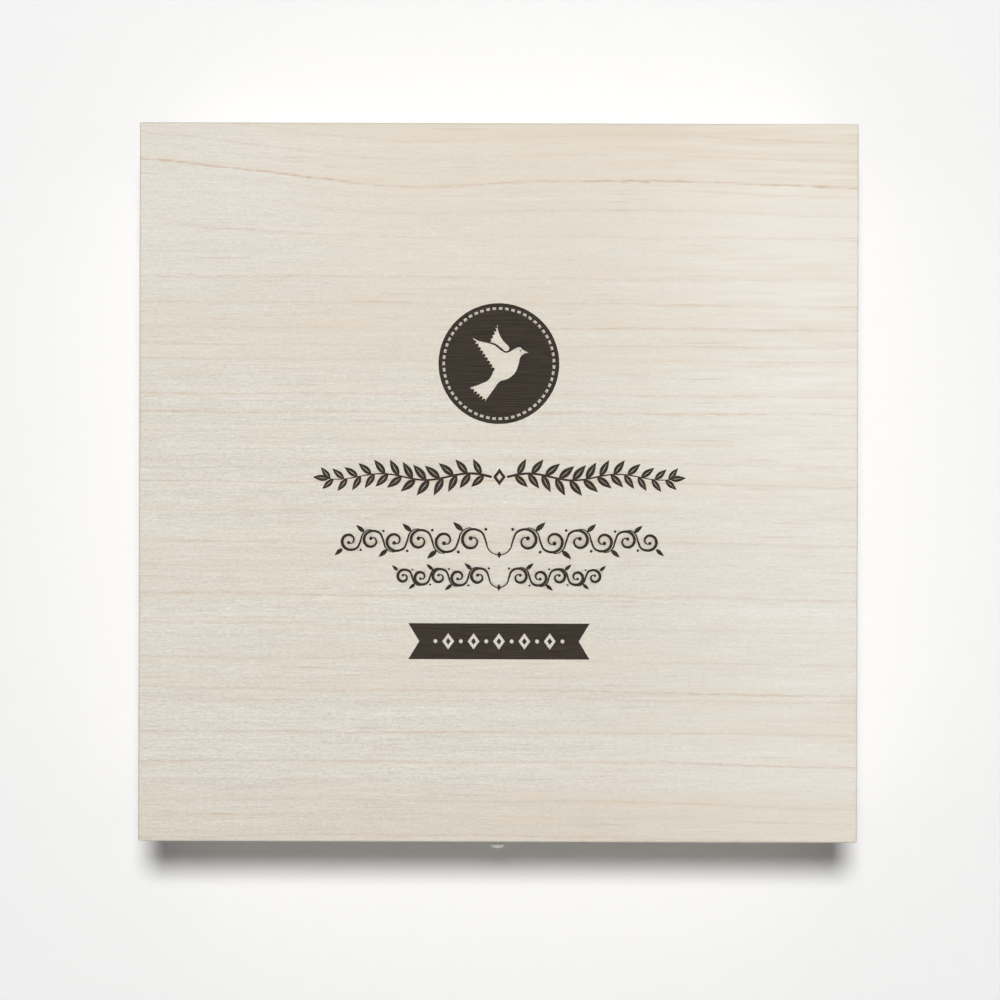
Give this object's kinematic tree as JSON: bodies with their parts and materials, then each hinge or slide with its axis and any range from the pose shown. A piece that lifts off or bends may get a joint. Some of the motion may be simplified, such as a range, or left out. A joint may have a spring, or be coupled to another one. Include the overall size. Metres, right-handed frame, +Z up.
{
  "type": "keepsake box",
  "caption": "Square hinged keepsake box of pale wood with finger-jointed walls, edge-glued panels, let-in back hinges and a swing hook clasp in front.",
  "frame": {"origin": "on the surface that the box stands on, under the middle of its square outline", "axes": "+Z up through the lid, -Y towards the front with its hook clasp, +Y towards the hinges, +X to the right seen from the front"},
  "size_m": [0.3, 0.3046, 0.12],
  "materials": {
    "pale_wood": "bare sanded paulownia with fine straight grain",
    "plated_steel": "satin nickel-plated pressed steel",
    "zinc_screws": "plated steel wood screws"
  },
  "bodies": {
    "base": {"floor_board_front": "pale_wood", "floor_board_middle": "pale_wood", "floor_board_rear": "pale_wood", "base_front_wall": "pale_wood", "base_back_wall": "pale_wood", "base_left_wall": "pale_wood", "base_right_wall": "pale_wood", "left_hinge_base_leaf": "plated_steel", "left_hinge_pin": "plated_steel", "right_hinge_base_leaf": "plated_steel", "right_hinge_pin": "plated_steel", "base_hinge_screws": "zinc_screws", "hook_plate": "plated_steel", "hook_rivet": "plated_steel", "hook_plate_screws": "zinc_screws"},
    "lid": {"lid_board_front": "pale_wood", "lid_board_middle": "pale_wood", "lid_board_rear": "pale_wood", "lid_front_wall": "pale_wood", "lid_back_wall": "pale_wood", "lid_left_wall": "pale_wood", "lid_right_wall": "pale_wood", "left_hinge_lid_leaf": "plated_steel", "right_hinge_lid_leaf": "plated_steel", "lid_hinge_screws": "zinc_screws", "keeper_plate": "plated_steel", "keeper_stud": "plated_steel", "keeper_screws": "zinc_screws"},
    "hook": {"hook_arm": "plated_steel"}
  },
  "joints": [
    {"name": "lid_hinge", "type": "hinge", "parent": "base", "child": "lid", "pos_m": [0, 0.14774, 0.085], "axis": [-1, 0, 0], "range_deg": [0, 105]},
    {"name": "hook_pivot", "type": "hinge", "parent": "base", "child": "hook", "pos_m": [-0.009, -0.15, 0.072], "axis": [0, 1, 0], "range_deg": [-140, 199.09]}
  ]
}
